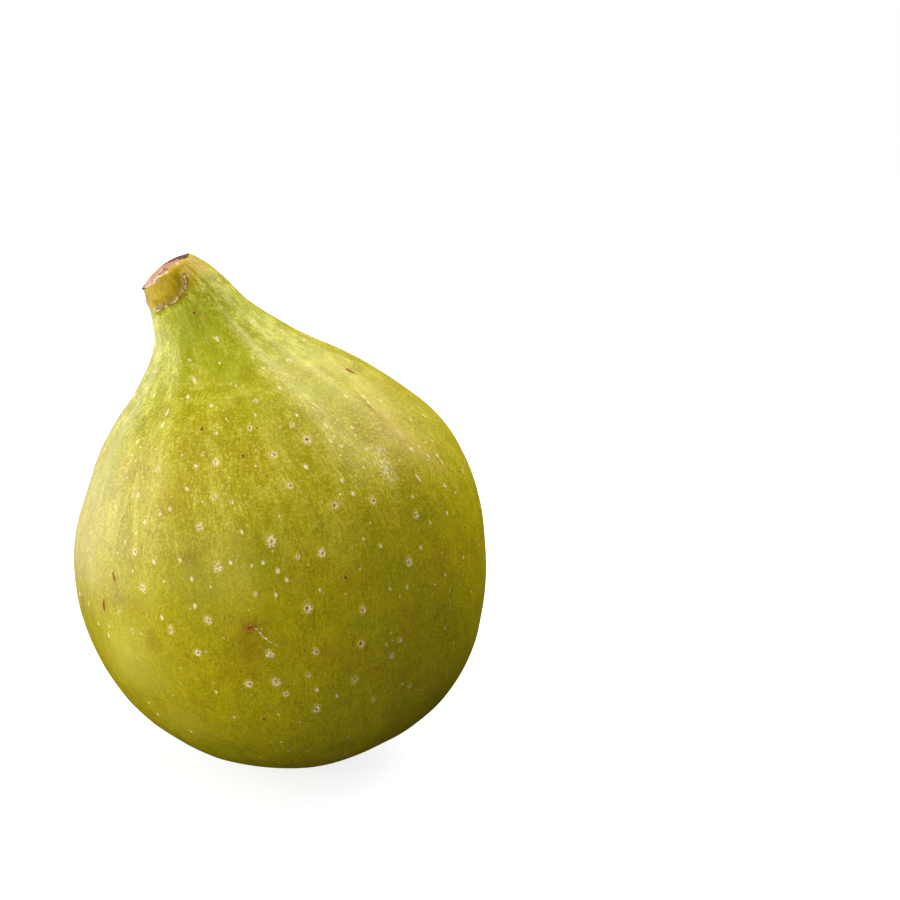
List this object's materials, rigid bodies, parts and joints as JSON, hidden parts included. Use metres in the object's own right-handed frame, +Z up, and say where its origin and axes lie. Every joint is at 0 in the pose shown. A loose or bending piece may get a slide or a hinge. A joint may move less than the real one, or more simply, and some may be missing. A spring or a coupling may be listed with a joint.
{
  "type": "fresh fig",
  "caption": "Whole fresh green fig: a round belly on a small flat foot, sloping ribbed shoulders, a neck that leans to one side and a short cut stalk, with a scaly eye underneath.",
  "frame": {"origin": "on the table, under the middle of the fruit's bounding box", "axes": "+Z up from the foot to the stalk, which is the longest way; +X to the right as seen from the front; -Y the front; the neck leans towards -X"},
  "size_m": [0.048, 0.048, 0.0602],
  "materials": {
    "skin": "satin, thin waxy fruit skin, yellow-green with faint ribs, pale specks and russet",
    "cork": "dry and matt, the cut stalk, the bract scars, the specks of cork and the scales of the eye"
  },
  "bodies": {
    "root": {"fig": "skin"}
  },
  "joints": []
}
